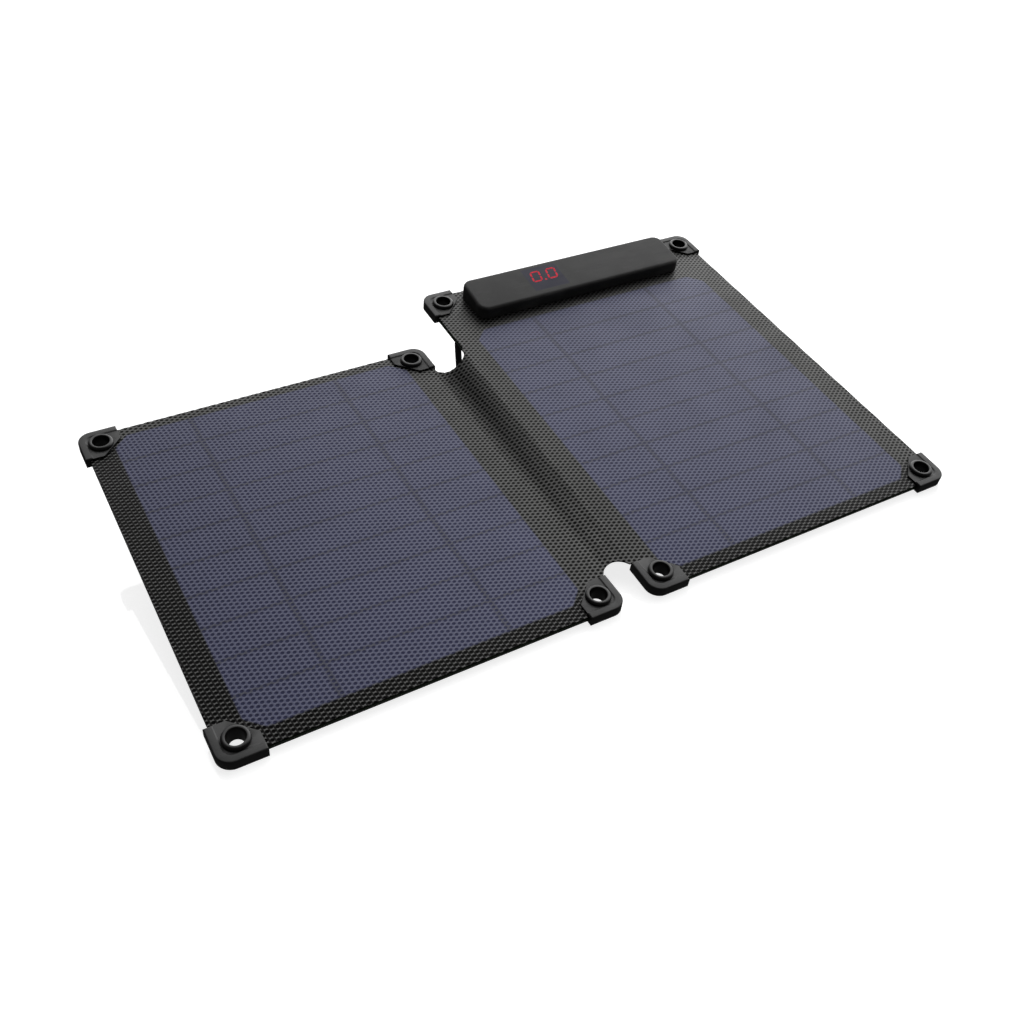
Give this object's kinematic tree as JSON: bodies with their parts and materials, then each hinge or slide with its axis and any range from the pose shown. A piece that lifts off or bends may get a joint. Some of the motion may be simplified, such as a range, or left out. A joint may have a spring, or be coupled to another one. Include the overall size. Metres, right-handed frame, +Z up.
{
  "type": "folding solar panel",
  "caption": "Folding solar charger: two thin framed leaves joined by a fabric fold, with corner eyelets, wire stands and a small controller box.",
  "frame": {"origin": "middle of the bottom of the whole object's box, on the surface it stands on, unfolded and propped on both stands", "axes": "+X from the left leaf to the right leaf, +Y away from the user up the slope of the leaves, +Z up"},
  "size_m": [0.3116, 0.186, 0.0583],
  "materials": {
    "textured_film": "satin woven emboss",
    "fold_fabric": "satin weave",
    "backing": "matt weave",
    "glass_fibre": "matt",
    "silicon": "satin",
    "ribbon": "satin",
    "rubber": "fine matt",
    "eyelet_metal": "satin black",
    "stand_metal": "satin black",
    "housing": "soft touch matt",
    "display": "satin",
    "circuit": "satin",
    "inductor": "matt",
    "socket_metal": "satin"
  },
  "bodies": {
    "right_leaf": {"right_front_sheet": "textured_film", "right_stiffener_board": "glass_fibre", "right_back_sheet": "backing", "right_cell_01": "silicon", "right_cell_02": "silicon", "right_cell_03": "silicon", "right_cell_04": "silicon", "right_cell_05": "silicon", "right_cell_06": "silicon", "right_cell_07": "silicon", "right_cell_08": "silicon", "right_cell_09": "silicon", "right_cell_10": "silicon", "right_cell_ribbon_a": "ribbon", "right_cell_ribbon_b": "ribbon", "right_guard_far_inner": "rubber", "right_eyelet_far_inner": "eyelet_metal", "right_guard_far_outer": "rubber", "right_eyelet_far_outer": "eyelet_metal", "right_guard_near_inner": "rubber", "right_eyelet_near_inner": "eyelet_metal", "right_guard_near_outer": "rubber", "right_eyelet_near_outer": "eyelet_metal", "right_stand_clip_a": "rubber", "right_stand_clip_b": "rubber", "fold_web": "fold_fabric", "controller_cover": "housing", "controller_base": "housing", "circuit_board": "circuit", "display_module": "display", "converter_inductor": "inductor", "usb_a_socket": "socket_metal", "usb_c_socket": "socket_metal"},
    "left_leaf": {"left_front_sheet": "textured_film", "left_stiffener_board": "glass_fibre", "left_back_sheet": "backing", "left_cell_01": "silicon", "left_cell_02": "silicon", "left_cell_03": "silicon", "left_cell_04": "silicon", "left_cell_05": "silicon", "left_cell_06": "silicon", "left_cell_07": "silicon", "left_cell_08": "silicon", "left_cell_09": "silicon", "left_cell_10": "silicon", "left_cell_ribbon_a": "ribbon", "left_cell_ribbon_b": "ribbon", "left_guard_far_inner": "rubber", "left_eyelet_far_inner": "eyelet_metal", "left_guard_far_outer": "rubber", "left_eyelet_far_outer": "eyelet_metal", "left_guard_near_inner": "rubber", "left_eyelet_near_inner": "eyelet_metal", "left_guard_near_outer": "rubber", "left_eyelet_near_outer": "eyelet_metal", "left_stand_clip_a": "rubber", "left_stand_clip_b": "rubber"},
    "right_stand": {"right_stand": "stand_metal"},
    "left_stand": {"left_stand": "stand_metal"}
  },
  "joints": [
    {"name": "leaf_fold", "type": "hinge", "parent": "right_leaf", "child": "left_leaf", "pos_m": [0, -0.09334, 0.00515], "axis": [0, 0.9711, 0.2385], "range_deg": [0, 180], "deforming": ["fold_web"]},
    {"name": "right_stand_swing", "type": "hinge", "parent": "right_leaf", "child": "right_stand", "pos_m": [0, 0.06484, 0.04075], "axis": [-1, 0, 0], "range_deg": [0, 74.9]},
    {"name": "left_stand_swing", "type": "hinge", "parent": "left_leaf", "child": "left_stand", "pos_m": [0, 0.0438, 0.02882], "axis": [-1, 0, 0], "range_deg": [0, 77.4]}
  ]
}
